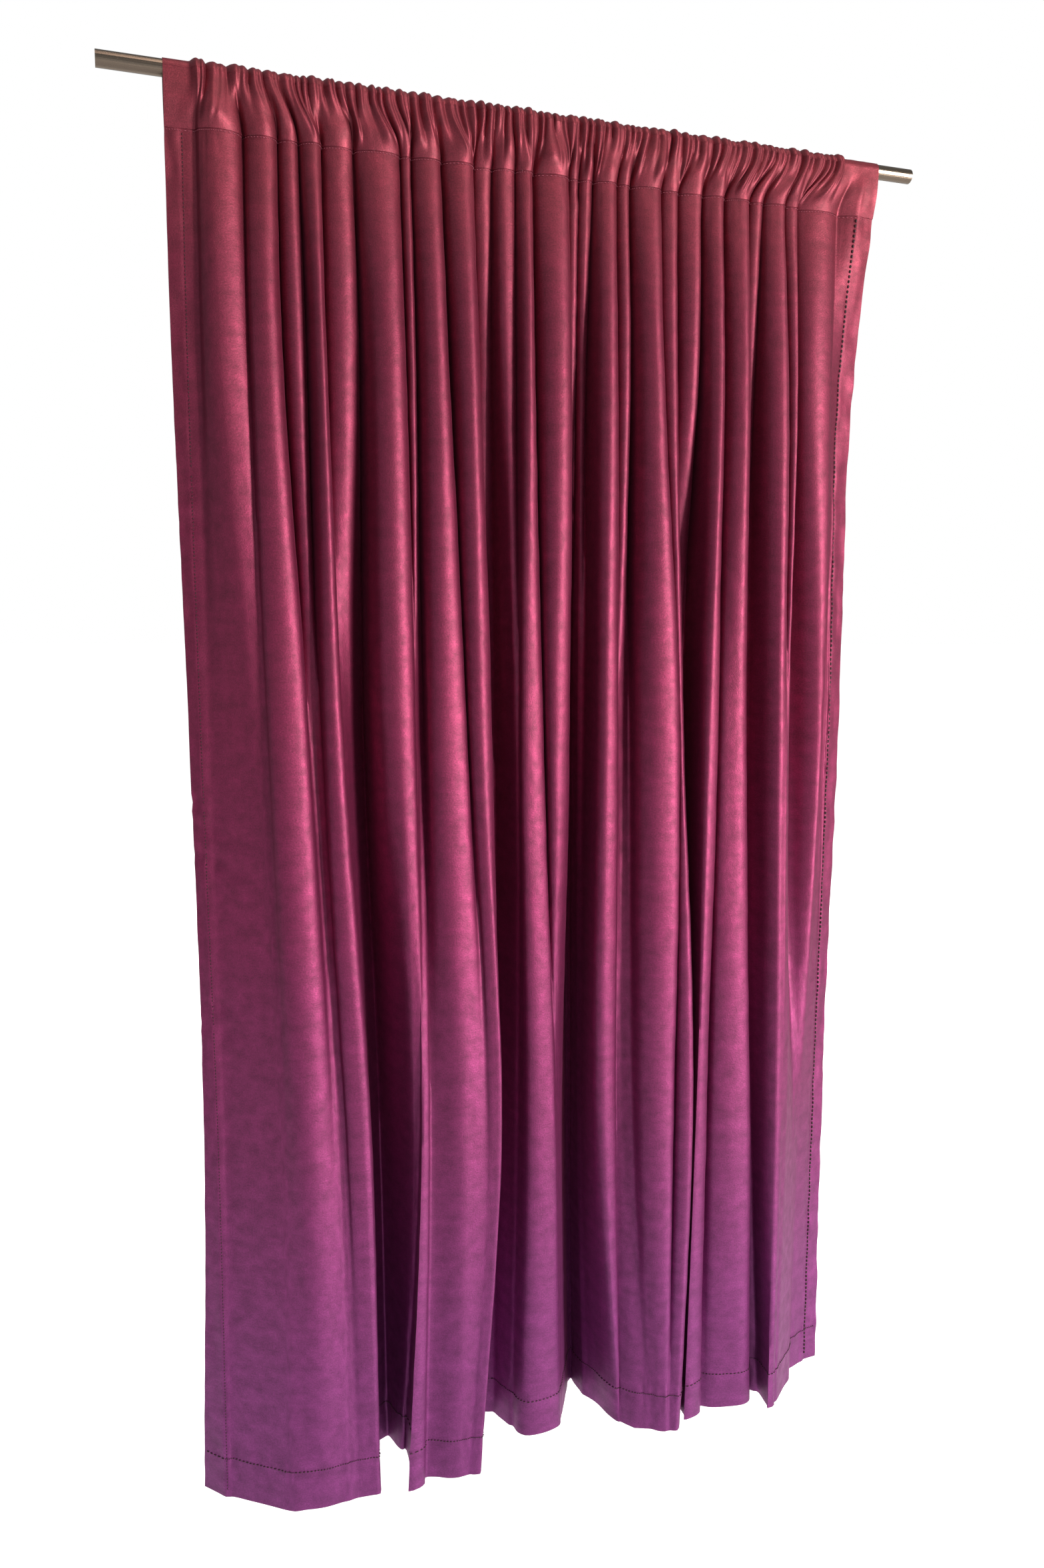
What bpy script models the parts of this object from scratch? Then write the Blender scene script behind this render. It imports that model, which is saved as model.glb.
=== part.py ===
# Rod-pocket curtain panel: two widths of velvet joined by a seam, hemmed on three sides, with a
# pocket along the top that a round steel rod passes through.
# Origin: the middle of the rod, on its axis. +X along the rod, +Z up, the face of the cloth looks to -Y.
import math

import bmesh
import bpy

# Rod, metres
ROD_DIAMETER = 0.0254
ROD_WALL = 0.0012
ROD_LENGTH = 1.46

# Panel as it hangs, metres
PANEL_WIDTH = 1.29  # gathered width along the rod
PANEL_DROP = 2.44  # top edge to bottom edge
PANEL_SHIFT = 0.013  # middle of the panel from the middle of the rod, along +X
POCKET_DEPTH = 0.1  # top edge to the stitching that closes the pocket
FOLD_DEPTH = 0.12  # how far the deepest fold stands forward of the rod at the bottom edge

# Sewing, metres
CLOTH = 0.0018  # one layer of velvet
THREAD = 0.0009
SIDE_HEM = 0.038
BOTTOM_HEM = 0.076
SEAM_ALLOWANCE = 0.015  # each side of the join seam
STITCH_INSET = 0.003  # from a turned edge to the thread that holds it

# Clearances, metres
LAYER_GAP = 0.0003
ROD_CLEARANCE = 0.0006  # between the rod and the cloth round it

# Tessellation
ROD_SEGMENTS = 32
POCKET_ARC_SEGMENTS = 12
STEPS_PER_FOLD = 5

# The folds from the left edge to the right edge: share of the width at the heading, share of the
# width at the bottom edge, and share of FOLD_DEPTH at the bottom edge. Minus is forward.
FOLDS = [
    (0.000, 0.000, 0.02),
    (0.070, 0.090, -0.80),
    (0.140, 0.165, -0.98),
    (0.190, 0.222, -0.85),
    (0.240, 0.268, 0.22),
    (0.285, 0.315, -0.98),
    (0.345, 0.365, -0.95),
    (0.412, 0.428, 0.40),
    (0.460, 0.480, -0.38),
    (0.500, 0.518, -0.34),
    (0.540, 0.575, 0.76),  # the join seam lies in this valley
    (0.590, 0.635, -0.66),
    (0.640, 0.688, -1.00),
    (0.695, 0.738, -0.15),
    (0.745, 0.785, -0.62),
    (0.790, 0.828, -0.74),
    (0.828, 0.864, -0.25),
    (0.868, 0.902, -0.92),
    (0.930, 0.955, -0.10),
    (1.000, 1.000, 0.08),
]
SEAM_FOLD = 10  # index in FOLDS
ROW_SHARES = (0.0, 0.04, 0.11, 0.22, 0.4, 0.65)  # rows of the cloth, from the stitching to the hem

rod_radius = ROD_DIAMETER / 2
pocket_radius = rod_radius + ROD_CLEARANCE + CLOTH / 2  # middle of the cloth where it lies on the rod
top_z = pocket_radius + CLOTH / 2
bottom_z = top_z - PANEL_DROP
stitch_z = top_z - POCKET_DEPTH
face_top_z = stitch_z - LAYER_GAP / 2
hem_top_z = bottom_z + BOTTOM_HEM
left_x = PANEL_SHIFT - PANEL_WIDTH / 2
back_of_face = CLOTH / 2 + LAYER_GAP  # offset behind the middle of the face cloth where a turned layer starts
front_of_face = -CLOTH / 2 - LAYER_GAP
last_fold = len(FOLDS) - 1


def clear_scene():
    for old in list(bpy.data.objects):
        bpy.data.objects.remove(old)


def make_material(name, colour, roughness, metallic=0.0):
    material = bpy.data.materials.new(name)
    material.use_nodes = True
    shader = material.node_tree.nodes["Principled BSDF"]
    shader.inputs["Base Color"].default_value = (*colour, 1.0)
    shader.inputs["Roughness"].default_value = roughness
    shader.inputs["Metallic"].default_value = metallic
    return material


def finish(name, bm, colour, roughness, metallic=0.0):
    """Turns the bmesh into a named object with its own material."""
    bmesh.ops.recalc_face_normals(bm, faces=bm.faces)
    mesh = bpy.data.meshes.new(name)
    bm.to_mesh(mesh)
    bm.free()
    mesh.materials.append(make_material(name, colour, roughness, metallic))
    mesh.shade_smooth()
    mesh.set_sharp_from_angle(angle=math.radians(40))
    piece = bpy.data.objects.new(name, mesh)
    bpy.context.scene.collection.objects.link(piece)
    return piece


def fold_place(s, z):
    """Middle of the face cloth at fold position s, counted along FOLDS, and at height z."""
    i = min(int(s), last_fold - 1)
    t = s - i
    fall = (face_top_z - z) / (face_top_z - bottom_z)
    ease = (1 - math.cos(math.pi * t)) / 2
    near, far = FOLDS[i], FOLDS[i + 1]
    heading = near[0] + (far[0] - near[0]) * t
    hem = near[1] + (far[1] - near[1]) * t
    depth = near[2] + (far[2] - near[2]) * ease
    x = left_x + PANEL_WIDTH * (heading + (hem - heading) * fall)
    y = FOLD_DEPTH * depth * (1 - (1 - fall) ** 3)
    return x, y


def cloth_point(s, z, offset):
    """A point at this distance behind the middle of the face cloth, square to its surface."""
    step = 0.02
    x0, y0 = fold_place(max(s - step, 0.0), z)
    x1, y1 = fold_place(min(s + step, last_fold), z)
    x, y = fold_place(s, z)
    run = math.hypot(x1 - x0, y1 - y0)
    return x - offset * (y1 - y0) / run, y + offset * (x1 - x0) / run, z


def fold_at(start, direction, distance):
    """The fold position this far along the bottom edge from another one."""
    step = 0.001 * direction
    s = start
    walked = 0.0
    while walked < distance:
        x0, y0 = fold_place(s, bottom_z)
        x1, y1 = fold_place(s + step, bottom_z)
        walked += math.hypot(x1 - x0, y1 - y0)
        s += step
    return s


def columns_between(first, last):
    """Fold positions of the face cloth's columns from first to last."""
    inside = [i / STEPS_PER_FOLD for i in range(last_fold * STEPS_PER_FOLD + 1)]
    inside = [s for s in inside if first + 0.02 < s < last - 0.02]
    marks = [s for s in sewn_lines if first < s < last]
    inside = [s for s in inside if all(abs(s - mark) > 0.05 for mark in marks)]
    return sorted([first, *inside, *marks, last])


def sheet(name, columns, rows, inner, outer, colour, roughness):
    """A closed layer of cloth or a line of thread, between two offsets from the middle of the face."""
    bm = bmesh.new()
    wide, tall = len(columns) - 1, len(rows) - 1
    bmesh.ops.create_grid(bm, x_segments=wide, y_segments=tall, size=1)
    skin = list(bm.verts)
    copy = bmesh.ops.extrude_face_region(bm, geom=bm.faces[:], use_keep_orig=True)
    raised = {v for v in copy["geom"] if isinstance(v, bmesh.types.BMVert)}
    for v in skin + list(raised):
        s = columns[round((v.co.x + 1) / 2 * wide)]
        z = rows[round((1 - v.co.y) / 2 * tall)]
        v.co = cloth_point(s, z, outer if v in raised else inner)
    return finish(name, bm, colour, roughness)


def make_rod():
    """An open-ended tube, its wall spun round the X axis."""
    bm = bmesh.new()
    half = ROD_LENGTH / 2
    bore = rod_radius - ROD_WALL
    wall = [(-half, bore), (-half, rod_radius), (half, rod_radius), (half, bore)]
    corners = [bm.verts.new((x, 0.0, z)) for x, z in wall]
    edges = [bm.edges.new((corners[i - 1], corners[i])) for i in range(len(corners))]
    bmesh.ops.spin(
        bm,
        geom=corners + edges,
        cent=(0, 0, 0),
        axis=(1, 0, 0),
        angle=2 * math.pi,
        steps=ROD_SEGMENTS,
        use_merge=True,
    )
    return finish("curtain_rod", bm, (0.55, 0.53, 0.5), 0.28, 1.0)


def make_pocket():
    """The heading cloth over the rod: front leaf, turn over the rod, and back leaf down to the stitching."""
    lean = math.asin(pocket_radius / -stitch_z)
    turn = math.pi + 2 * lean
    loop = [(-LAYER_GAP / 2 - CLOTH / 2, stitch_z + LAYER_GAP / 2)]
    for i in range(POCKET_ARC_SEGMENTS + 1):
        angle = math.pi + lean - turn * i / POCKET_ARC_SEGMENTS
        loop.append((pocket_radius * math.cos(angle), pocket_radius * math.sin(angle)))
    loop.append((LAYER_GAP / 2 + CLOTH / 2, stitch_z + LAYER_GAP / 2))

    outline = []
    for side in (1, -1):
        run = loop if side == 1 else loop[::-1]
        for i, (y, z) in enumerate(run):
            y0, z0 = run[max(i - 1, 0)]
            y1, z1 = run[min(i + 1, len(run) - 1)]
            length = math.hypot(y1 - y0, z1 - z0)
            outline.append((y - CLOTH / 2 * (z1 - z0) / length, z + CLOTH / 2 * (y1 - y0) / length))
    bm = bmesh.new()
    end = bm.faces.new([bm.verts.new((left_x, y, z)) for y, z in outline])
    swept = bmesh.ops.extrude_face_region(bm, geom=[end], use_keep_orig=True)
    far_end = [v for v in swept["geom"] if isinstance(v, bmesh.types.BMVert)]
    bmesh.ops.translate(bm, verts=far_end, vec=(PANEL_WIDTH, 0, 0))
    return finish("rod_pocket", bm, (0.23, 0.03, 0.05), 0.9)


def stitch_across(name, z):
    """A line of thread along the whole width, on the front of the cloth."""
    rows = [z + THREAD / 2, z - THREAD / 2]
    sheet(name, all_columns, rows, front_of_face - THREAD, front_of_face, thread_red, 0.6)


def stitch_down(name, line):
    """A line of thread down one side, on the front of the cloth, from just under the pocket's."""
    columns = [fold_at(line, -1, THREAD / 2), fold_at(line, 1, THREAD / 2)]
    rows = [face_top_z - STITCH_INSET, *side_hem_rows[1:]]
    sheet(name, columns, rows, front_of_face - THREAD, front_of_face, thread_red, 0.6)


clear_scene()

left_hem_line = fold_at(0.0, 1, SIDE_HEM)
right_hem_line = fold_at(last_fold, -1, SIDE_HEM)
left_thread_line = fold_at(left_hem_line, -1, STITCH_INSET)
right_thread_line = fold_at(right_hem_line, 1, STITCH_INSET)
seam_left = fold_at(SEAM_FOLD, -1, SEAM_ALLOWANCE)
seam_right = fold_at(SEAM_FOLD, 1, SEAM_ALLOWANCE)
left_width_end = fold_at(SEAM_FOLD, -1, LAYER_GAP)
right_width_start = fold_at(SEAM_FOLD, 1, LAYER_GAP)
sewn_lines = [
    left_thread_line,
    left_hem_line,
    seam_left,
    left_width_end,
    right_width_start,
    seam_right,
    right_hem_line,
    right_thread_line,
]

face_rows = [face_top_z + (hem_top_z - face_top_z) * share for share in ROW_SHARES]
face_rows += [hem_top_z, bottom_z]
side_hem_rows = face_rows[:-1]
side_hem_rows[-1] = hem_top_z + LAYER_GAP
bottom_hem_rows = [hem_top_z, bottom_z]

left_columns = columns_between(0.0, left_width_end)
right_columns = columns_between(right_width_start, last_fold)
seam_columns = columns_between(seam_left, seam_right)
left_hem_columns = columns_between(0.0, left_hem_line)
right_hem_columns = columns_between(right_hem_line, last_fold)
all_columns = columns_between(0.0, last_fold)

wine = (0.26, 0.035, 0.075)
turned_wine = (0.19, 0.024, 0.05)
thread_red = (0.1, 0.012, 0.02)
half_cloth = CLOTH / 2
turned_back = back_of_face + CLOTH

make_rod()
make_pocket()
sheet("left_width", left_columns, face_rows, -half_cloth, half_cloth, wine, 0.9)
sheet("right_width", right_columns, face_rows, -half_cloth, half_cloth, wine, 0.9)
sheet("join_seam", seam_columns, side_hem_rows, back_of_face, turned_back, turned_wine, 0.9)
sheet("left_side_hem", left_hem_columns, side_hem_rows, back_of_face, turned_back, turned_wine, 0.9)
sheet("right_side_hem", right_hem_columns, side_hem_rows, back_of_face, turned_back, turned_wine, 0.9)
sheet("bottom_hem", all_columns, bottom_hem_rows, back_of_face, turned_back, turned_wine, 0.9)
stitch_across("pocket_stitching", face_top_z - THREAD)
stitch_across("bottom_hem_stitching", hem_top_z - STITCH_INSET)
stitch_down("left_hem_stitching", left_thread_line)
stitch_down("right_hem_stitching", right_thread_line)
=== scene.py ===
# Gathered velvet curtain panel on a round steel rod: two widths joined, hemmed on three sides.
import math

import bpy
import numpy as np
from mathutils import Matrix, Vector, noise


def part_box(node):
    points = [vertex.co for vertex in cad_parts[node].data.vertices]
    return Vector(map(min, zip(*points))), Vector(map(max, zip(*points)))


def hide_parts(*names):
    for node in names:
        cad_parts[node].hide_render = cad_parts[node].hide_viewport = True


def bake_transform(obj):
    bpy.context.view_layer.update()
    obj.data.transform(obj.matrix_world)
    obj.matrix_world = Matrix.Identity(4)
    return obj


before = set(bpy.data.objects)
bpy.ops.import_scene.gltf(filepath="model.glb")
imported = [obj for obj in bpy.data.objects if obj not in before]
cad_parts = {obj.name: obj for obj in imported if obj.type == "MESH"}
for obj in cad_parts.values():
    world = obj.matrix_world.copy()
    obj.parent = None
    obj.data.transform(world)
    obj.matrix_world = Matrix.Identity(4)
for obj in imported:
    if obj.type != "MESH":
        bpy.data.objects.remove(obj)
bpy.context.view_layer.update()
print("frame loaded")

# Metres, except where a note says otherwise
panel = {
    "leftEdge": -0.632,  # x of the left edge
    "hungWidth": 1.29,  # along the rod, as gathered
    "top": 0.0151,  # z of the heading where it lies on the rod
    "drop": 2.44,
    "pocket": 0.100,  # top edge to the pocket's stitching
    "bottomHem": 0.076,
    "sideHem": 0.038,
    "turnIn": 0.003,  # side hem behind its stitching
    "joinStrip": 0.013,  # seam allowance on each side of the join
    "cloth": 0.0018,  # one layer
    "layerGap": 0.0003,
    "heights": (100, 330, 1050, 1800, 2440),  # mm under the top edge, where the plans below are given
    "squareness": (2.0, 2.2, 2.5, 2.5, 2.4),  # of the folds' crests at those heights, 2 is round
    "slack": (0.05, 0.25),  # depth over width: a wave below the first, a full fold above the second
    "chordPower": 0.7,  # how the line runs through the plan's points: 1 by their distance, 0 evenly
}

meshing = {
    "columnStep": 0.0068,
    "fineStep": 0.0024,  # at the side hems and the join
    "pocketStep": 0.0034,
    "rows": (14, 144, 20),  # under the heading, down the face, at the bottom hem
    "headingRows": 0.08,  # how far down the first rows reach
    "crowding": 1.3,  # above 1, the first rows lie closer together
    "hemRows": 0.05,  # how far above the hem's stitching the last rows start
    "upPocket": 21,  # rows up each side of the pocket
    "roundRod": 18,
    "crease": 75,  # degrees, past which an edge is drawn sharp
}

# Fold by fold from the left edge, at the five heights above: x of the valley after the fold from the
# left edge (mm), y of its crest and of that valley (mm, minus forward), and where the crest stands
# between the two valleys (0 left, 1 right, below 0 where the fold hangs over to the left).
foldPlan = [
    ((46, -2, -4, 0.5), (44, -5, -9, 0.5), (44, -9, -13, 0.5),  # side hem
     (52, -14, -16, 0.6), (46, -38, -40, 0.8)),
    ((120, -23, 5, 0.5), (119, -36, -20, 0.42), (132, -50, -56, 0.8),
     (150, -76, -82, 0.9), (150, -106, -111, 0.9)),
    ((174, -18, 5, 0.6), (174, -43, 6, 0.6), (204, -80, -51, 0.62),
     (234, -105, -93, 0.48), (245, -118, -115, 0.6)),
    ((207, -12, 5, 0.55), (213, -26, 5, 0.55), (222, -50, -54, 0.5),
     (252, -91, -93, 0.4), (264, -114, -112, 0.4)),
    ((244, -18, 4, 0.62), (245, -46, 2, 0.6), (262, -82, -34, 0.64),
     (301, -106, -39, 0.78), (314, -114, -22, 0.8)),
    ((296, -13, 5, 0.55), (304, -20, 14, 0.55), (310, -8, 28, 0.5),
     (338, 18, 38, 0.5), (350, 24, 34, 0.4)),
    ((374, -18, 2, 0.58), (378, -46, -8, 0.58), (388, -72, -54, 0.58),
     (386, -72, -82, 0.8), (374, -12, -10, 0.8)),
    ((392, -9, 4, 0.6), (396, -26, 4, 0.5), (406, -46, -34, 0.3),
     (404, -98, -86, 0), (392, -125, -100, -1.1)),
    ((444, -16, 4, 0.62), (451, -44, 0, 0.6), (478, -78, -57, 0.49),
     (507, -106, -102, 0.55), (474, -119, -117, 0.7)),
    ((501, -18, 8, 0.66), (506, -47, 16, 0.62), (528, -82, 1, 0.48),
     (538, -107, 26, 0.82), (505, -121, 20, 0.6)),
    ((534, -3, 6, 0.6), (536, 2, 8, 0.6), (552, 20, 24, 0.6),
     (566, 38, 36, 0.6), (566, 50, 40, 0.5)),
    ((573, -13, -2, 0.5), (573, -24, -14, 0.5), (576, -46, -50, 0.8),
     (592, -20, -26, 0.8), (592, -8, -12, 0.8)),
    ((605, -18, 4, 0.62), (605, -47, -2, 0.52), (624, -66, -42, 0.26),
     (660, -64, -48, 0.32), (690, -50, -22, 0.34)),
    ((671, -18, 3, 0.7), (675, -47, 2, 0.62), (680, -72, -3, 0.32),
     (706, -30, 34, 0.3), (736, -6, 66, 0.2)),
    ((690, -8, 4, 0.5), (692, -4, 6, 0.5), (704, 22, 30, 0.5),  # join seam
     (724, 46, 50, 0.5), (754, 84, 90, 0.5)),
    ((716, -11, 3, 0.5), (712, -8, 3, 0.5), (720, 10, 2, 0.5),
     (732, 18, 6, 0.5), (764, 34, 26, 0.5)),
    ((760, -18, 2, 0.66), (761, -47, -6, 0.56), (768, -70, -46, 0.3),
     (784, -66, -45, 0.3), (800, -66, -66, 0.9)),
    ((786, -12, 6, 0.6), (790, -29, 14, 0.6), (796, -40, -32, 0.3),
     (812, -50, -60, 0.5), (840, -92, -100, 0.5)),
    ((846, -18, 2, 0.68), (848, -47, -6, 0.64), (878, -92, -71, 0.7),
     (886, -104, -88, 0.74), (882, -121, -120, 0.8)),
    ((880, -12, 5, 0.66), (882, -28, 8, 0.62), (896, -78, -11, 0.3),
     (925, -112, -38, 0.72), (934, -124, -50, 0.3)),
    ((927, -12, 4, 0.8), (928, -29, 8, 0.72), (922, 24, 8, 0.5),
     (930, -10, -12, 0.5), (932, -52, -54, 0.5)),
    ((970, -18, 4, 0.7), (970, -46, 2, 0.64), (962, -84, -65, 0.3),
     (962, -103, -62, -0.1), (972, -100, -72, -0.2)),
    ((1021, -18, 4, 0.72), (1022, -47, 6, 0.66), (1026, -84, -25, 0.68),
     (1058, -98, -58, 0.7), (1092, -94, -52, 0.78)),
    ((1050, -12, 0, 0.6), (1046, -10, -2, 0.6), (1046, -22, -20, 0.5),
     (1074, -46, -46, 0.5), (1108, -62, -66, 0.6)),
    ((1093, -18, -1, 0.78), (1100, -46, -16, 0.7), (1102, -86, -80, 0.68),
     (1118, -107, -101, 0.58), (1122, -120, -108, -0.4)),
    ((1120, -12, 6, 0.84), (1123, -35, 16, 0.7), (1140, -78, 22, 0.15),
     (1162, -94, -62, 0.3), (1192, -106, -52, 0.1)),
    ((1212, -11, 5, 0.55), (1206, -30, -10, 0.45), (1221, -26, -21, 0.86),
     (1226, -50, -28, 0.4), (1242, -20, -8, 0.4)),
    ((1248, -3, -9, 0.5), (1236, -4, 2, 0.5), (1235, -19, -17, 0.5),
     (1241, -20, -16, 0.5), (1260, -6, -1, 0.5)),
    ((1286, -5, -1, 0.5), (1273, 6, 10, 0.5), (1265, -10, -4, 0.5),  # side hem
     (1268, -12, -8, 0.5), (1290, 1, 4, 0.5)),
]
leftEdgePlan = ((0, 0), (0, 0), (11, 0), (17, 2), (0, 2))  # x, y of the left edge at the five heights
seamFold = 14  # the join lies in the valley after this one
marksPerFold = 6
fineMarks = (8, 12, 3)  # marks with fine columns at the left edge, the right edge and beside the join


def foldMarks():
    valley = np.array(leftEdgePlan, float)
    marks = [valley]
    square = 2 / np.array(panel["squareness"])
    wavy, full = panel["slack"]
    for fold in np.array(foldPlan, float):
        width, crest = fold[:, 0] - valley[:, 0], fold[:, 3]
        rise, fall = fold[:, 1] - valley[:, 1], fold[:, 1] - fold[:, 2]
        proud = np.minimum(-rise, -fall) / np.abs(width)
        deep = np.clip((proud - wavy) / (full - wavy), 0, 1)
        straight = rise * fall < 0  # the crest lies between its two valleys, so the cloth just slopes
        for half in (0, 1):
            for s in (1 / 3, 2 / 3, 1.0):
                a = s * math.pi / 2
                near, far = math.sin(a) ** square, max(0.0, math.cos(a)) ** square
                wave = np.where(straight, s, (1 - math.cos(2 * a)) / 2)
                if half == 0:
                    x = valley[:, 0] + width * crest * (deep * (1 - far) + (1 - deep) * s)
                    y = valley[:, 1] + rise * (deep * near + (1 - deep) * wave)
                else:
                    x = valley[:, 0] + width * (crest + (1 - crest) * (deep * near + (1 - deep) * s))
                    y = fold[:, 2] + fall * (deep * far + (1 - deep) * (1 - wave))
                marks.append(np.stack([x, y], -1))
        valley = fold[:, [0, 2]]
    return np.array(marks) / 1000


stations = foldMarks()
stationDown = np.array(panel["heights"]) / 1000
spans = np.sort(np.linalg.norm(np.diff(stations, axis=0), axis=2), axis=1)
stretches = spans[:, 2:].mean(axis=1)  # the three longest of the five, as cloth doesn't stretch
planLength = np.concatenate([[0], np.cumsum(stretches)])
flatWidth = planLength[-1]
seamPlan = marksPerFold * (seamFold + 1)
drop, stitchDown = panel["drop"], panel["pocket"]
hemTop = drop - panel["bottomHem"]
behindFace = panel["cloth"] + panel["layerGap"]
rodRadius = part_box("curtain_rod")[1].z


def throughPoints(knots, values, at):
    slopes = np.gradient(values, knots, axis=0)
    i = np.clip(np.searchsorted(knots, at, side="right") - 1, 0, len(knots) - 2)
    span = knots[i + 1] - knots[i]
    t = (at - knots[i]) / span
    more = (...,) + (None,) * (values.ndim - 1)
    t, span = t[more], span[more]
    return (
        values[i] * (1 + 2 * t) * (1 - t) ** 2
        + slopes[i] * span * t * (1 - t) ** 2
        + values[i + 1] * t * t * (3 - 2 * t)
        - slopes[i + 1] * span * t * t * (1 - t)
    )


def columnsOf(step, fine):
    rows, shares = [], []
    left, right, seam = fineMarks
    for k, stretch in enumerate(stretches):
        edge = k < left or k >= len(stretches) - right or abs(k + 0.5 - seamPlan) < seam
        count = max(1, round(stretch / (fine if edge else step)))
        rows += [k] * count
        shares += [n / count for n in range(count)]
    rows, shares = np.array(rows + [len(stretches) - 1]), np.array(shares + [1.0])
    flat = planLength[rows] + shares * stretches[rows]
    return {"row": rows, "share": shares, "flat": flat, "seam": int((rows < seamPlan).sum())}


def columnsAt(flats):
    rows = np.clip(np.searchsorted(planLength, flats, side="right") - 1, 0, len(stretches) - 1)
    return {"row": rows, "share": (flats - planLength[rows]) / stretches[rows], "flat": flats}


def planAt(down, columns):
    places = throughPoints(stationDown, stations.transpose(1, 0, 2), np.array([down]))[0]
    chord = np.maximum(np.linalg.norm(np.diff(places, axis=0), axis=1), 1e-5) ** panel["chordPower"]
    knots = np.concatenate([[0], np.cumsum(chord)])
    at = knots[columns["row"]] + columns["share"] * chord[columns["row"]]
    return throughPoints(knots, places, at)


def easeBetween(low, high, value):
    t = np.clip((value - low) / (high - low), 0, 1)
    return t * t * (3 - 2 * t)


def bell(distance, half):
    return np.exp(-((distance / half) ** 2))


def softNoise(along, down, alongSize, downSize, seed):
    points = np.stack([along / alongSize, down / downSize, np.full_like(along, seed * 7.3)], -1)
    return np.array([noise.noise(p) for p in points.reshape(-1, 3)]).reshape(along.shape)


def facing(points):
    normal = np.cross(np.gradient(points, axis=0), np.gradient(points, axis=1))
    return normal / np.maximum(np.linalg.norm(normal, axis=2, keepdims=True), 1e-9)


# Unevenness of the cloth: height, size across, size down (metres) and seed
relief = {
    "swell": (0.0016, 0.11, 0.34, 1),  # slow unevenness of the hanging cloth
    "rumple": (0.0007, 0.030, 0.045, 2),  # small dents
    "hemPucker": (0.0022, 0.014, 0.05, 3),  # pull of the bottom hem's stitching
    "headingPucker": (0.0016, 0.013, 0.06, 4),  # pull just under the pocket's stitching
    "sideRumple": (0.0016, 0.028, 0.040, 8),  # pull of the side hems
    "seamRumple": (0.0014, 0.012, 0.022, 10),  # pull of the join
}
hemLines = {  # depth or height and half width, metres
    "sideGroove": (0.0005, 0.0040),  # the dent along each side hem's stitching
    "grooveSize": (0.035, 6),  # length of a dimple and seed
    "sideRidge": (0.0030, 0.0030),  # soft ridge beside the right hem at mid height
    "ridgeInward": 0.050,
    "ridgeSway": (0.006, 17),  # metres to each side, radians a metre
    "ridgeStarts": (0.45, 0.7),  # metres under the top edge, none and full
    "ridgeEnds": (1.5, 1.1),
    "seamGroove": (0.0020, 0.0030),
    "rightPull": 0.7,  # how much tighter the right hem is stitched
    "dimples": (0.75, 0.6),  # steady and changing share of the groove's depth
    "sideReach": (0.052, 0.030),  # from the side edge, where the hem's pull ends and where it is full
    "hemReach": 0.022,  # how far from its stitching each pull goes
    "headingReach": 0.035,
    "headingStart": 0.012,  # the heading's pull grows over this much
    "seamReach": 0.016,
    "calm": 0.05,  # the face lies even this far under the heading
    "creasePress": 2.6,
}

# creases pressed in by folding: cloth from the left edge, down, half length, half height, tilt, depth
creases = [
    (0.020, 0.62, 0.030, 0.006, 0.05, 0.0022),
    (0.025, 0.66, 0.026, 0.005, -0.10, 0.0018),
    (0.030, 0.70, 0.030, 0.006, 0.08, 0.0020),
    (0.028, 1.17, 0.040, 0.006, 0.20, 0.0025),
    (0.045, 1.21, 0.050, 0.007, 0.25, 0.0022),
    (0.030, 1.25, 0.036, 0.006, 0.05, 0.0020),
    (0.060, 1.27, 0.060, 0.007, 0.30, 0.0020),
    (0.035, 1.52, 0.040, 0.006, 0.12, 0.0022),
    (0.040, 1.56, 0.045, 0.006, 0.15, 0.0020),
]


def uneven(kind, flat, down, side=0):
    height, across, high, seed = relief[kind]
    return height * softNoise(flat, down, across, high, seed + side)


def reliefAt(flat, down):
    under = down - stitchDown
    lift = uneven("swell", flat, down) + uneven("rumple", flat, down)
    lift *= easeBetween(0.0, hemLines["calm"], under)
    lift += bell(down - hemTop, hemLines["hemReach"]) * uneven("hemPucker", flat, down)
    fade = np.exp(-(under / hemLines["headingReach"]))
    fade = fade * easeBetween(0.0, hemLines["headingStart"], under)
    lift += fade * uneven("headingPucker", flat, down)
    for side, inward in enumerate((flat, flatWidth - flat)):
        pull = 1.0 + hemLines["rightPull"] * side
        depth, half = hemLines["sideGroove"]
        steady, changing = hemLines["dimples"]
        size, seed = hemLines["grooveSize"]
        dimples = steady + changing * softNoise(flat * 0, down, 1, size, seed + side)
        lift -= depth * pull * bell(inward - panel["sideHem"], half) * dimples
        near = easeBetween(*hemLines["sideReach"], inward)
        lift += pull * near * uneven("sideRumple", flat, down, side)
    height, half = hemLines["sideRidge"]
    sway, turns = hemLines["ridgeSway"]
    ridge = bell(flatWidth - flat - hemLines["ridgeInward"] - sway * np.sin(down * turns), half)
    ridge *= easeBetween(*hemLines["ridgeStarts"], down) * easeBetween(*hemLines["ridgeEnds"], down)
    lift += height * ridge
    offSeam = flat - planLength[seamPlan]
    depth, half = hemLines["seamGroove"]
    lift -= depth * bell(offSeam, half)
    lift += bell(offSeam, hemLines["seamReach"]) * uneven("seamRumple", flat, down)
    for middle, height, halfLong, halfHigh, tilt, depth in creases:
        off = flat - middle
        shape = np.exp(-((off / halfLong) ** 2) - ((down - height - tilt * off) / halfHigh) ** 2)
        lift -= hemLines["creasePress"] * depth * shape
    return lift


def facePoints(columns, downs):
    plan = np.array([planAt(d, columns) for d in downs])
    points = np.empty(plan.shape[:2] + (3,))
    points[..., 0] = panel["leftEdge"] + plan[..., 0]
    points[..., 1] = plan[..., 1]
    points[..., 2] = panel["top"] - downs[:, None]
    flat, down = np.broadcast_arrays(columns["flat"][None, :], downs[:, None])
    points += facing(points) * reliefAt(flat, down)[..., None]
    return points, flat, down


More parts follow.
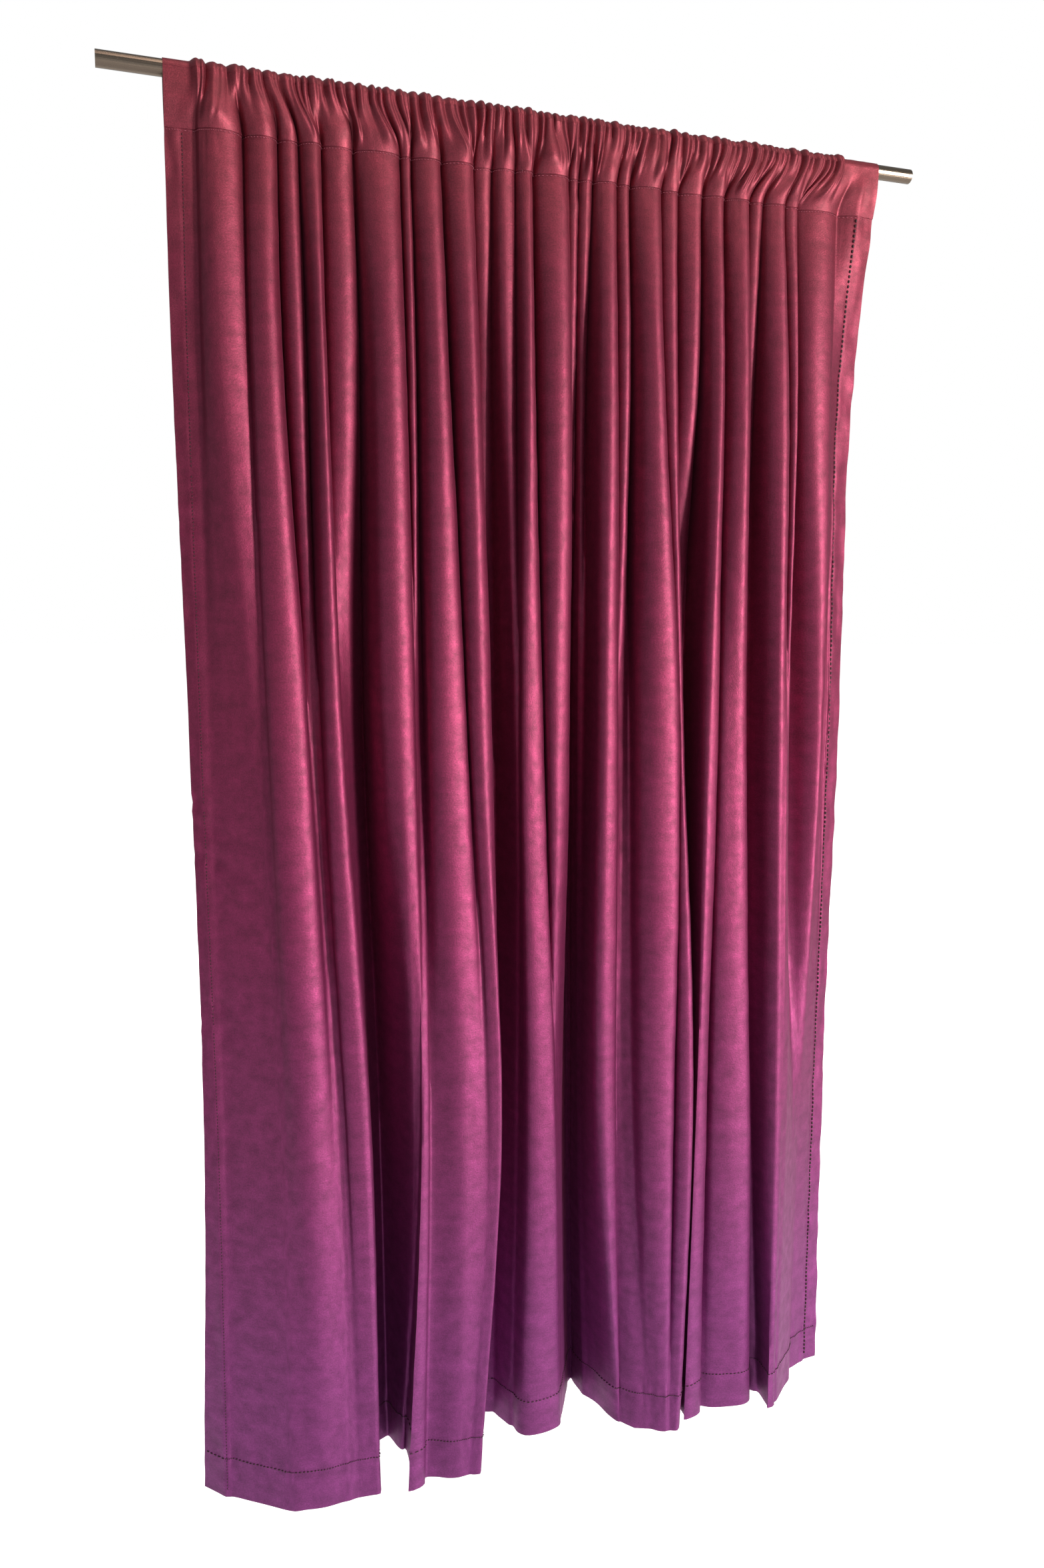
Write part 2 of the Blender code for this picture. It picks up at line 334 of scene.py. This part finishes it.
gathers = {
    "wide": (0.050, 0.092),  # flat cloth in each of the first ribs, metres
    "wideCount": 5,
    "tight": (0.019, 0.060),  # and in the rest
    "steepness": 0.26,  # height of a rib over its flat cloth
    "height": (0.0045, 0.0115),
    "heightSpread": (0.65, 1.15),
    "riseFrom": (-0.55, 0.65),  # share of the way up where a rib starts, below 0 for the long ones
    "riseOver": 0.55,
    "lean": (0.65, 1.5),  # which way a rib leans, 1 is upright
    "roundness": 0.8,  # of a rib's crest, 1 is a plain wave and less is fuller
    "standsOutAt": 0.3,  # share of the way up where the ribs stand fully out
    "dent": (0.4, 0.6, 0.14),  # depth, place and half width of the dent in a wide rib, as shares
    "dentedFrom": 0.042,
    "flatEnds": (0.040, 0.100),  # flat cloth without gathers at the left and right
    "rightPull": 0.75,  # how far the flat right end is drawn in
    "crinkle": 0.0016,
    "crinkleSize": (0.016, 0.035, 5),  # across, up and seed
    "crinkleFrom": 0.08,  # flat cloth at the left edge over which the crinkles grow
    "crinkleRise": (0.25, 0.8),  # where on a half wave they start, and how much of it they follow
    "drift": 0.007,  # how far a rib wanders sideways
    "driftSize": (0.07, 0.09, 6),
    "calmEnds": 0.06,  # the side edges don't wander
    "sag": 0.004,
    "onTop": 0.45,  # how much flatter the ribs lie on top of the rod
    "rodGap": 0.0006,
    "stitchGap": 0.0010,  # front and back of the pocket from the middle, at the stitching
    "cloth": 0.0016,
    "seed": 11,
}


def ribsOf():
    rng = np.random.default_rng(gathers["seed"])
    first, last = gathers["flatEnds"]
    edges = [first]
    while edges[-1] < flatWidth - last:
        kind = "wide" if len(edges) <= gathers["wideCount"] else "tight"
        edges.append(edges[-1] + rng.uniform(*gathers[kind]))
    edges = np.array(edges)
    edges = first + (edges - first) * (flatWidth - last - first) / (edges[-1] - first)
    count = len(edges) - 1
    heights = np.clip(np.diff(edges) * gathers["steepness"], *gathers["height"])
    heights = heights * rng.uniform(*gathers["heightSpread"], count)
    starts = rng.uniform(*gathers["riseFrom"], (2, count))  # front and back
    lean = rng.uniform(*gathers["lean"], count)
    return {"edges": edges, "heights": heights, "starts": starts, "lean": lean}


ribs = ribsOf()


def gatherWave(flat, rise, side):
    edges = ribs["edges"]
    i = np.clip(np.searchsorted(edges, flat, side="right") - 1, 0, len(edges) - 2)
    t = np.clip((flat - edges[i]) / (edges[i + 1] - edges[i]), 0, 1)
    start = ribs["starts"][side][i]
    grown = easeBetween(start, start + gathers["riseOver"], rise)
    depth, middle, half = gathers["dent"]
    dent = 1 - depth * bell(t - middle, half) * (edges[i + 1] - edges[i] > gathers["dentedFrom"])
    crest = np.sin(math.pi * t ** ribs["lean"][i]) ** gathers["roundness"]
    return ribs["heights"][i] * crest * grown * dent


def pocketLoop():
    # y, z, height as a share and side (-1 front, 0 over the rod, 1 back) of each row
    stitchZ = panel["top"] - stitchDown
    around = rodRadius + gathers["rodGap"] + panel["cloth"] / 2
    lean = math.asin(around / -stitchZ)
    tangentY, tangentZ = around * math.cos(lean), around * math.sin(lean)
    rise = np.linspace(0, 1, meshing["upPocket"])
    straight = [(tangentY * r + gathers["stitchGap"] * (1 - r), stitchZ + (tangentZ - stitchZ) * r, r)
                for r in rise]
    loop = [(-y, z, r, -1) for y, z, r in straight]
    for step in np.linspace(0, 1, meshing["roundRod"] + 1)[1:-1]:
        angle = math.pi + lean - (math.pi + 2 * lean) * step
        loop.append((around * math.cos(angle), around * math.sin(angle), 1.0, 0))
    return loop + [(y, z, r, 1) for y, z, r in straight[::-1]]


def pocketPoints(columns):
    loop = pocketLoop()
    plan = planAt(stitchDown, columns)
    flat, width = columns["flat"], plan[-1, 0]
    first, last = gathers["flatEnds"]
    evenX = np.interp(flat, [0, first, flatWidth - last, flatWidth],
                      [0, first, width - last * gathers["rightPull"], width])
    points = np.empty((len(loop), len(flat), 3))
    calm = gathers["calmEnds"]
    steady = easeBetween(0.0, calm, flat) * easeBetween(0.0, calm, flatWidth - flat)
    lengths = [0.0]
    for n, (y, z, height, side) in enumerate(loop):
        if n:
            lengths.append(lengths[-1] + math.hypot(y - loop[n - 1][0], z - loop[n - 1][1]))
        at = flat * 0 + lengths[-1]
        taken = float(easeBetween(0.0, 1.0, height))
        if side:
            wave = gatherWave(flat, height, int(side > 0))
        else:
            back = n / len(loop)
            wave = gatherWave(flat, 1.0, 0) * (1 - back) + gatherWave(flat, 1.0, 1) * back
        crinkle = gathers["crinkle"] * softNoise(flat, at, *gathers["crinkleSize"])
        grown, bent = gathers["crinkleRise"]
        crinkle *= math.sin(math.pi * min(1.0, height + grown) * bent)
        outward = wave + crinkle * easeBetween(0.0, gathers["crinkleFrom"], flat)
        drift = gathers["drift"] * softNoise(flat, at, *gathers["driftSize"])
        drift *= math.sin(math.pi * height)
        x = plan[:, 0] + (evenX - plan[:, 0]) * taken + drift * steady
        if side == 0:
            reach = math.hypot(y, z)
            turn = (n - meshing["upPocket"]) / meshing["roundRod"]
            top = 1 - gathers["onTop"] * math.sin(math.pi * turn)
            dy, dz = y / reach * outward * top, z / reach * outward * top
        else:
            out = easeBetween(0.0, gathers["standsOutAt"], height)
            dy = side * outward * out + plan[:, 1] * (1 - taken)
            dz = 0 * wave
        sag = side * gathers["sag"] * math.sin(math.pi * height)
        points[n] = np.stack([panel["leftEdge"] + x, y + dy + sag, z + dz], -1)
    down = (stitchDown - np.array(lengths))[:, None]
    shape = points.shape[:2]
    return points, np.broadcast_to(flat, shape), np.broadcast_to(down, shape)


def newPiece(name, mesh, material):
    mesh.materials.append(material)
    mesh.shade_smooth()
    piece = bpy.data.objects.new(name, mesh)
    bpy.context.scene.collection.objects.link(piece)
    return piece


def makeSheet(name, points, flat, down, front, back, material):
    normal = facing(points)
    rows, cols = points.shape[:2]
    sides = [points + normal * front, points - normal * back]
    coords = np.concatenate([side.reshape(-1, 3) for side in sides])
    index = np.arange(rows * cols).reshape(rows, cols)
    behind = index + rows * cols
    a, b, c, d = index[:-1, :-1], index[1:, :-1], index[1:, 1:], index[:-1, 1:]
    quads = [np.stack([a, b, c, d], -1).reshape(-1, 4)]
    quads.append(np.stack([a, d, c, b], -1).reshape(-1, 4) + rows * cols)
    rims = [
        (index[0, :-1], index[0, 1:], behind[0, 1:], behind[0, :-1]),
        (index[-1, 1:], index[-1, :-1], behind[-1, :-1], behind[-1, 1:]),
        (index[1:, 0], index[:-1, 0], behind[:-1, 0], behind[1:, 0]),
        (index[:-1, -1], index[1:, -1], behind[1:, -1], behind[:-1, -1]),
    ]
    quads += [np.stack(rim, -1).reshape(-1, 4) for rim in rims]
    faces = np.concatenate(quads)
    mesh = bpy.data.meshes.new(name)
    mesh.vertices.add(len(coords))
    mesh.vertices.foreach_set("co", coords.astype(np.float32).ravel())
    mesh.loops.add(len(faces) * 4)
    mesh.loops.foreach_set("vertex_index", faces.astype(np.int32).ravel())
    mesh.polygons.add(len(faces))
    mesh.polygons.foreach_set("loop_start", np.arange(0, len(faces) * 4, 4, dtype=np.int32))
    mesh.update(calc_edges=True)
    mesh.validate()
    place = np.stack([flat.ravel(), drop - down.ravel()], -1)  # the cloth laid flat, in metres
    place = np.concatenate([place, place])
    layer = mesh.uv_layers.new(name="cloth")
    layer.data.foreach_set("uv", place[faces.ravel()].astype(np.float32).ravel())
    piece = newPiece(name, mesh, material)
    mesh.set_sharp_from_angle(angle=math.radians(meshing["crease"]))
    print(name, len(faces) * 2, "triangles")
    return piece


# Polyester sewing thread, spun and twisted: dull. Each stitch shows as a dark speck, which is painted
# shade of the dimple it pulls into the pile. The real thread is 0.3 to 0.5 mm thick, so the rows are
# drawn coarser, to show as rows of dots.
thread = {
    # far darker than the thread itself: painted shade of the dimple each stitch pulls into the cloth
    "colour": "#2C0A18",
    "headingColour": "#8C4456",
    "roughness": 0.5,
    "twistPerMetre": 1400.0,  # fibres 0.7 mm long
    "twistShade": (0.7, 1.25),
    "pitch": 0.0060,
    "coarsePitch": 0.0090,
    "stitch": 0.62,  # share of the pitch that lies on the cloth
    "leftWide": 0.0013,
    # the right row is drawn widest, so that its painted dimple shade shows
    "rightWide": 0.0042,
    "bottomWide": 0.0020,
    "pocketWide": 0.0009,
    "proudDown": 0.0008,  # how far the middle of a stitch stands off the cloth
    "proudAcross": 0.0006,
    "clearDown": 0.006,  # the side rows stop this far from the pocket's stitching and the bottom edge
    "clearAcross": 0.004,  # and the rows across this far from the side edges
    "underPocket": 0.001,
    "besides": 0.002,  # step to the neighbouring lines that give the cloth's slope
}
stitchRings = ((0.0, 0.3, -0.0002), (0.2, 0.9, 0.0002), (0.8, 0.9, 0.0002), (1.0, 0.3, -0.0002))
stitchSides = 5


def makeStitches(name, ends, normals, wide, material):
    # each ring of a stitch: share along it, share of its width, lift in metres
    coords, faces = [], []
    for (start, stop), normal in zip(ends, normals):
        run = stop - start
        side = np.cross(run, normal)
        side /= np.linalg.norm(side)
        base = len(coords)
        for share, size, lift in stitchRings:
            for step in range(stitchSides):
                angle = step * 2 * math.pi / stitchSides
                off = side * math.cos(angle) + normal * math.sin(angle)
                coords.append(start + run * share + normal * lift + off * wide / 2 * size)
        for ring in range(len(stitchRings) - 1):
            first = base + ring * stitchSides
            for step in range(stitchSides):
                a, b = first + step, first + (step + 1) % stitchSides
                faces.append((a, b, b + stitchSides, a + stitchSides))
        last = base + stitchSides * (len(stitchRings) - 1)
        faces.append(tuple(base + k for k in range(stitchSides - 1, -1, -1)))
        faces.append(tuple(last + k for k in range(stitchSides)))
    mesh = bpy.data.meshes.new(name)
    mesh.from_pydata([tuple(c) for c in coords], [], faces)
    piece = newPiece(name, mesh, material)
    print(name, len(faces), "faces")
    return piece


def linearColour(hexCode):
    channels = [int(hexCode[i:i + 2], 16) / 255 for i in (1, 3, 5)]
    line = [c / 12.92 if c <= 0.04045 else ((c + 0.055) / 1.055) ** 2.4 for c in channels]
    return tuple(line) + (1.0,)


def addNode(tree, kind, settings=None, links=None):
    node = tree.nodes.new(kind)
    for key, value in (settings or {}).items():
        if isinstance(key, int) or key in node.inputs:
            node.inputs[key].default_value = value
        else:
            setattr(node, key, value)
    for key, source in (links or {}).items():
        tree.links.new(source, node.inputs[key])
    return node


def newMaterial(name):
    material = bpy.data.materials.new(name)
    material.use_nodes = True
    return material, material.node_tree, material.node_tree.nodes["Principled BSDF"]


def setShader(tree, shader, values, links):
    for key, value in values.items():
        shader.inputs[key].default_value = value
    for key, node in links.items():
        tree.links.new(node.outputs[0], shader.inputs[key])


# Woven velvet with a cut pile, soft and matt face on. The pile sends light back in the cloth's own
# colour, so each fold is dark with a broad bright band where it turns, and brushing leaves it mottled.
# The real pile is about 0.3 mm across: the nap is drawn coarser, so that it shows.
velvet = {
    "span": (-2.43, 0.02),  # z of the two ends of the colours below
    "heights": (  # share of the span from its lower end, and the colour there: the pile's own wine with painted light in it, redder above and more violet and paler below
        (0.00, "#84397D"), (0.10, "#853779"), (0.27, "#802C63"), (0.43, "#7E2353"),
        (0.58, "#7C2049"), (0.72, "#7A2145"), (0.87, "#78233F"), (1.00, "#7C2B38"),
    ),
    "metallic": 0.80,
    "roughness": 0.54,
    "roughnessEnds": (0.06, -0.05),  # in the dark and the pale marks of the mottle
    "specular": 0.9,
    "gloss": 0.15,
    "glossRoughness": 0.45,
    "sheen": 0.12,
    "sheenRoughness": 0.35,
    "sheenTint": "#C86488",
    "napMillimetres": 2.6,
    "napShade": (0.78, 1.16),
    "napBump": 0.0006,  # metres
    "mottleMillimetres": 26,
    "mottleShade": (0.66, 1.12),
    "mottleBump": 0.0016,
    "streakMillimetres": (110, 18),  # brushed marks, along and across the cloth
    "streakShade": (0.92, 1.06),
    "turnedTint": 0.7,  # the turned-in layers show the duller back of the cloth
}


def between(tree, source, ends, spread=0.2):
    # a noise lies mostly within this spread of a half
    return addNode(tree, "ShaderNodeMapRange",
                   {1: 0.5 - spread, 2: 0.5 + spread, 3: ends[0], 4: ends[1]}, {0: source.outputs[0]})


def velvetMaterial(name, tint=1.0):
    material, tree, shader = newMaterial(name)
    place = addNode(tree, "ShaderNodeTexCoord")
    cloth = addNode(tree, "ShaderNodeUVMap", {"uv_map": "cloth"}).outputs[0]
    axes = addNode(tree, "ShaderNodeSeparateXYZ", links={0: place.outputs["Object"]})
    low, high = velvet["span"]
    height = addNode(tree, "ShaderNodeMapRange", {1: low, 2: high}, {0: axes.outputs[2]})
    # colour by height: the pile's wine plus painted light, warm light at the top and cool light at the
    # bottom
    pileAndLightRamp = addNode(tree, "ShaderNodeValToRGB", links={0: height.outputs[0]})
    stops = pileAndLightRamp.color_ramp.elements
    heights = velvet["heights"]
    for stop, (at, hexCode) in zip((stops[0], stops[1]), (heights[0], heights[-1])):
        stop.position, stop.color = at, linearColour(hexCode)
    for at, hexCode in heights[1:-1]:
        stops.new(at).color = linearColour(hexCode)
    mottleScale, napScale = 1000 / velvet["mottleMillimetres"], 1000 / velvet["napMillimetres"]
    mottle = addNode(tree, "ShaderNodeTexNoise",
                     {"Scale": mottleScale, "Detail": 5.0, "Roughness": 0.62}, {"Vector": cloth})
    nap = addNode(tree, "ShaderNodeTexNoise", {"Scale": napScale, "Detail": 2.0}, {"Vector": cloth})
    along, across = velvet["streakMillimetres"]
    brushed = addNode(tree, "ShaderNodeMapping", {"Scale": (1000 / along, 1000 / across, 1.0)},
                      {"Vector": cloth})
    streaks = addNode(tree, "ShaderNodeTexNoise", {"Scale": 1.0, "Detail": 3.0, "Distortion": 0.8},
                      {"Vector": brushed.outputs[0]})
    streakShade = between(tree, streaks, velvet["streakShade"])
    shade = between(tree, mottle, [end * tint for end in velvet["mottleShade"]], 0.25)
    fine = between(tree, nap, velvet["napShade"])
    wide = addNode(tree, "ShaderNodeMath", {"operation": "MULTIPLY"},
                   {0: shade.outputs[0], 1: streakShade.outputs[0]})
    both = addNode(tree, "ShaderNodeMath", {"operation": "MULTIPLY"},
                   {0: wide.outputs[0], 1: fine.outputs[0]})
    colour = addNode(tree, "ShaderNodeVectorMath", {"operation": "SCALE"},
                     {0: pileAndLightRamp.outputs[0], "Scale": both.outputs[0]})
    rough = between(tree, mottle, [velvet["roughness"] + end for end in velvet["roughnessEnds"]])
    bumpSmall = addNode(tree, "ShaderNodeBump", {"Strength": 0.35, "Distance": velvet["napBump"]},
                        {"Height": nap.outputs[0]})
    bumpWide = addNode(tree, "ShaderNodeBump", {"Strength": 0.5, "Distance": velvet["mottleBump"]},
                       {"Height": mottle.outputs[0], "Normal": bumpSmall.outputs[0]})
    setShader(tree, shader, {
        "Metallic": velvet["metallic"],
        "Specular IOR Level": velvet["specular"],
        "Coat Weight": velvet["gloss"],
        "Coat Roughness": velvet["glossRoughness"],
        "Sheen Weight": velvet["sheen"],
        "Sheen Roughness": velvet["sheenRoughness"],
        "Sheen Tint": linearColour(velvet["sheenTint"]),
    }, {"Base Color": colour, "Roughness": rough, "Normal": bumpWide})
    return material


def threadMaterial(name, hexCode):
    material, tree, shader = newMaterial(name)
    place = addNode(tree, "ShaderNodeTexCoord")
    twist = addNode(tree, "ShaderNodeTexNoise", {"Scale": thread["twistPerMetre"], "Detail": 2.0},
                    {"Vector": place.outputs["Object"]})
    shade = between(tree, twist, thread["twistShade"])
    colour = addNode(tree, "ShaderNodeVectorMath",
                     {"operation": "SCALE", 0: linearColour(hexCode)[:3]}, {"Scale": shade.outputs[0]})
    bump = addNode(tree, "ShaderNodeBump", {"Strength": 0.4, "Distance": 0.0002},
                   {"Height": twist.outputs[0]})
    setShader(tree, shader, {"Roughness": thread["roughness"]}, {"Base Color": colour, "Normal": bump})
    return material


# Steel tube, brushed along its length: a long soft highlight with fine lines in it, in a warm grey
# darker than bare steel, which is painted shade. The lines come out about 70 mm long and 0.7 mm wide,
# coarser than the real brushing, so that they show.
steel = {
    # darker and browner than bare steel: painted shade of the tube
    "colour": "#776C61",
    "roughness": 0.24,
    "roughnessEnds": (-0.05, 0.1),
    "linesPerMetre": (14.0, 1400.0, 1400.0),
}


def brushedSteel():
    material, tree, shader = newMaterial("brushedSteel")
    place = addNode(tree, "ShaderNodeTexCoord")
    stretch = addNode(tree, "ShaderNodeMapping", {"Scale": steel["linesPerMetre"]},
                      {"Vector": place.outputs["Object"]})
    brushing = addNode(tree, "ShaderNodeTexNoise", {"Scale": 1.0, "Detail": 3.0},
                       {"Vector": stretch.outputs[0]})
    rough = between(tree, brushing, [steel["roughness"] + end for end in steel["roughnessEnds"]])
    bump = addNode(tree, "ShaderNodeBump", {"Strength": 0.25, "Distance": 0.0002},
                   {"Height": brushing.outputs[0]})
    setShader(tree, shader, {"Base Color": linearColour(steel["colour"]), "Metallic": 1.0},
              {"Roughness": rough, "Normal": bump})
    return material


view = {
    "lens": 27.73,  # millimetres
    "sensor": 36.0,
    "place": (-0.738, -2.082, -0.8136),
    "right": (0.9475, -0.3195, 0.0116),
    "up": (0.0360, 0.1427, 0.9891),
    "back": (-0.3177, -0.9368, 0.1467),
    "reach": 120,
}


def makeCamera():
    data = bpy.data.cameras.new("camera")
    data.lens, data.sensor_width, data.clip_end = view["lens"], view["sensor"], view["reach"]
    camera = bpy.data.objects.new("camera", data)
    bpy.context.scene.collection.objects.link(camera)
    turned = Matrix((view["right"], view["up"], view["back"])).transposed().to_4x4()
    camera.matrix_world = Matrix.Translation(view["place"]) @ turned
    bpy.context.scene.camera = camera
    bpy.context.scene.view_settings.view_transform = "Standard"


studio = {
    "aim": (0.0, 0.0, -1.2),
    "keyAzimuth": 38,  # degrees to the right of straight on
    "keyDistance": 7.5,
    "keyHeight": -0.9,
    "keySize": (1.6, 4.4),
    "keyWatts": 905,
    "keyColour": "#FFF4EC",
    "behindPlace": (1.8, 4.6, 0.2),
    "behindSize": (2.5, 2.5),
    "behindWatts": 260,
    "behindColour": "#FFF8F4",
    "topPlace": (0.3, -1.2, 2.4),
    "topSize": (2.0, 1.5),
    "topWatts": 40,
    "topAim": (0.0, 0.0, 0.0),
    "topColour": "#FFE6D8",
    "ambient": 0.34,
    "backdrop": 1.0,
    "floorSize": 90,
    "floorGap": 0.05,  # under the bottom edge
    "floorBack": 2,
    "floorColour": "#C9C8C7",
    "floorRoughness": 0.8,
    "floorGlow": (0.40, 0.92),  # what it casts on the cloth, and how pale it looks itself
}


def aimedLight(name, place, target, size, watts, hexCode):
    data = bpy.data.lights.new(name, "AREA")
    data.shape, data.energy = "RECTANGLE", watts
    data.size, data.size_y = size
    data.color = linearColour(hexCode)[:3]
    light = bpy.data.objects.new(name, data)
    bpy.context.scene.collection.objects.link(light)
    stand = Matrix.Translation(place)
    back = (stand.translation - Matrix.Translation(target).translation).normalized()
    light.matrix_world = stand @ back.to_track_quat("Z", "Y").to_matrix().to_4x4()


def makeLights():
    a, d = math.radians(studio["keyAzimuth"]), studio["keyDistance"]
    keyPlace = (d * math.sin(a), -d * math.cos(a), studio["keyHeight"])
    aimedLight("key", keyPlace, studio["aim"], studio["keySize"], studio["keyWatts"],
               studio["keyColour"])
    aimedLight("behind", studio["behindPlace"], studio["aim"], studio["behindSize"],
               studio["behindWatts"], studio["behindColour"])
    aimedLight("above", studio["topPlace"], studio["topAim"], studio["topSize"],
               studio["topWatts"], studio["topColour"])


def makeBackdrop():
    world = bpy.data.worlds.new("studio")
    bpy.context.scene.world = world
    world.use_nodes = True
    tree = world.node_tree
    soft = tree.nodes["Background"]
    soft.inputs["Color"].default_value = (1, 1, 1, 1)
    soft.inputs["Strength"].default_value = studio["ambient"]
    seen = addNode(tree, "ShaderNodeBackground",
                   {"Color": (1, 1, 1, 1), "Strength": studio["backdrop"]})
    path = addNode(tree, "ShaderNodeLightPath")
    mix = addNode(tree, "ShaderNodeMixShader",
                  links={0: path.outputs["Is Camera Ray"], 1: soft.outputs[0], 2: seen.outputs[0]})
    tree.links.new(mix.outputs[0], tree.nodes["World Output"].inputs["Surface"])


def makeFloor():
    bpy.ops.object.select_all(action="DESELECT")
    under = panel["top"] - drop - studio["floorGap"]
    bpy.ops.mesh.primitive_plane_add(size=studio["floorSize"], location=(0, studio["floorBack"], under))
    floor = bpy.context.active_object
    floor.name = "floor"
    material, tree, shader = newMaterial("paleFloor")  # matt painted floor, plain and even
    path = addNode(tree, "ShaderNodeLightPath")
    dim, bright = studio["floorGlow"]
    glow = addNode(tree, "ShaderNodeMapRange", {3: dim, 4: bright},
                   {0: path.outputs["Is Camera Ray"]})
    setShader(tree, shader, {
        "Base Color": linearColour(studio["floorColour"]),
        "Roughness": studio["floorRoughness"],
        "Emission Color": (1, 1, 1, 1),
    }, {"Emission Strength": glow})
    floor.data.materials.append(material)


faceVelvet = velvetMaterial("velvetWovenPile")
headingVelvet = velvetMaterial("velvetHeadingPile")
turnedVelvet = velvetMaterial("velvetTurnedHem", velvet["turnedTint"])
threadWithDimpleShade = threadMaterial("polyesterThread", thread["colour"])
paleThread = threadMaterial("polyesterThreadHeading", thread["headingColour"])
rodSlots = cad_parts["curtain_rod"].data.materials
rodSlots.clear()
rodSlots.append(brushedSteel())
print("materials made")

columns = columnsOf(meshing["columnStep"], meshing["fineStep"])
topRows, faceRows, hemRows = meshing["rows"]
faceTop, faceEnd = stitchDown + meshing["headingRows"], hemTop - meshing["hemRows"]
downs = np.concatenate([
    stitchDown + meshing["headingRows"] * np.linspace(0, 1, topRows)[:-1] ** meshing["crowding"],
    np.linspace(faceTop, faceEnd, faceRows)[:-1],
    np.linspace(faceEnd, drop, hemRows),
])
points, flat, down = facePoints(columns, downs)
print("cloth width", round(flatWidth, 3), "columns", len(columns["flat"]), "rows", len(downs))


def hang(piece, node):
    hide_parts(node)
    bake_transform(piece)
    return piece


def faceSheet(name, part, node):
    sheet = makeSheet(name, points[:, part], flat[:, part], down[:, part], 0.0, panel["cloth"],
                      faceVelvet)
    return hang(sheet, node)


def turnedSheet(name, rows, keep, node):
    grids = [grid[rows][:, keep] for grid in (points, flat, down)]
    sheet = makeSheet(name, *grids, -behindFace, behindFace + panel["cloth"], turnedVelvet)
    return hang(sheet, node)


seam = columns["seam"]
left = faceSheet("leftWidth", slice(None, seam + 1), "left_width")
right = faceSheet("rightWidth", slice(seam, None), "right_width")
low = downs >= hemTop - 1e-6
bottom = turnedSheet("bottomHem", low, slice(None), "bottom_hem")
pocketGrid = pocketPoints(columnsOf(meshing["columnStep"] / 2, meshing["pocketStep"]))
upward = [grid[::-1] for grid in pocketGrid]
pocket = makeSheet("rodPocket", *upward, 0.0, gathers["cloth"], headingVelvet)
hang(pocket, "rod_pocket")
inward, outward = columns["flat"], flatWidth - columns["flat"]
hemWidth = panel["sideHem"] + panel["turnIn"]
offSeam = np.abs(columns["flat"] - planLength[seamPlan])
leftHem = turnedSheet("leftSideHem", ~low, inward <= hemWidth, "left_side_hem")
rightHem = turnedSheet("rightSideHem", ~low, outward <= hemWidth, "right_side_hem")
seamStrip = turnedSheet("joinSeam", ~low, offSeam <= panel["joinStrip"], "join_seam")


def stitchEnds(start, length, pitch):
    starts = start + np.arange(int(length / pitch)) * pitch
    return np.stack([starts, starts + pitch * thread["stitch"]], 1).ravel()


def stitchesDown(name, atFlat, node, wide, pitch):
    clear = thread["clearDown"]
    line = stitchEnds(stitchDown + clear, drop - 2 * clear - stitchDown, pitch)
    place, _, _ = facePoints(columnsAt(atFlat + thread["besides"] * np.array([-1, 0, 1])), line)
    normals = facing(place)[:, 1]
    middle = place[:, 1] + normals * thread["proudDown"]
    row = makeStitches(name, middle.reshape(-1, 2, 3), normals[::2], wide, threadWithDimpleShade)
    return hang(row, node)


def stitchesAcross(name, atDown, node, material, wide):
    clear = thread["clearAcross"]
    line = stitchEnds(clear, flatWidth - 2 * clear, thread["pitch"])
    place, _, _ = facePoints(columnsAt(line), atDown + thread["besides"] * np.array([0, 1, 2]))
    normals = facing(place)[1]
    middle = place[1] + normals * thread["proudAcross"]
    row = makeStitches(name, middle.reshape(-1, 2, 3), normals[::2], wide, material)
    return hang(row, node)


leftStitches = stitchesDown("leftHemStitching", panel["sideHem"], "left_hem_stitching",
                            thread["leftWide"], thread["pitch"])
rightStitches = stitchesDown("rightHemStitching", flatWidth - panel["sideHem"],
                             "right_hem_stitching", thread["rightWide"], thread["coarsePitch"])
bottomStitches = stitchesAcross("bottomHemStitching", hemTop, "bottom_hem_stitching", threadWithDimpleShade,
                                thread["bottomWide"])
pocketStitches = stitchesAcross("pocketStitching", stitchDown + thread["underPocket"],
                                "pocket_stitching", paleThread, thread["pocketWide"])

makeCamera()
makeLights()
makeBackdrop()
makeFloor()
print("camera and studio made")
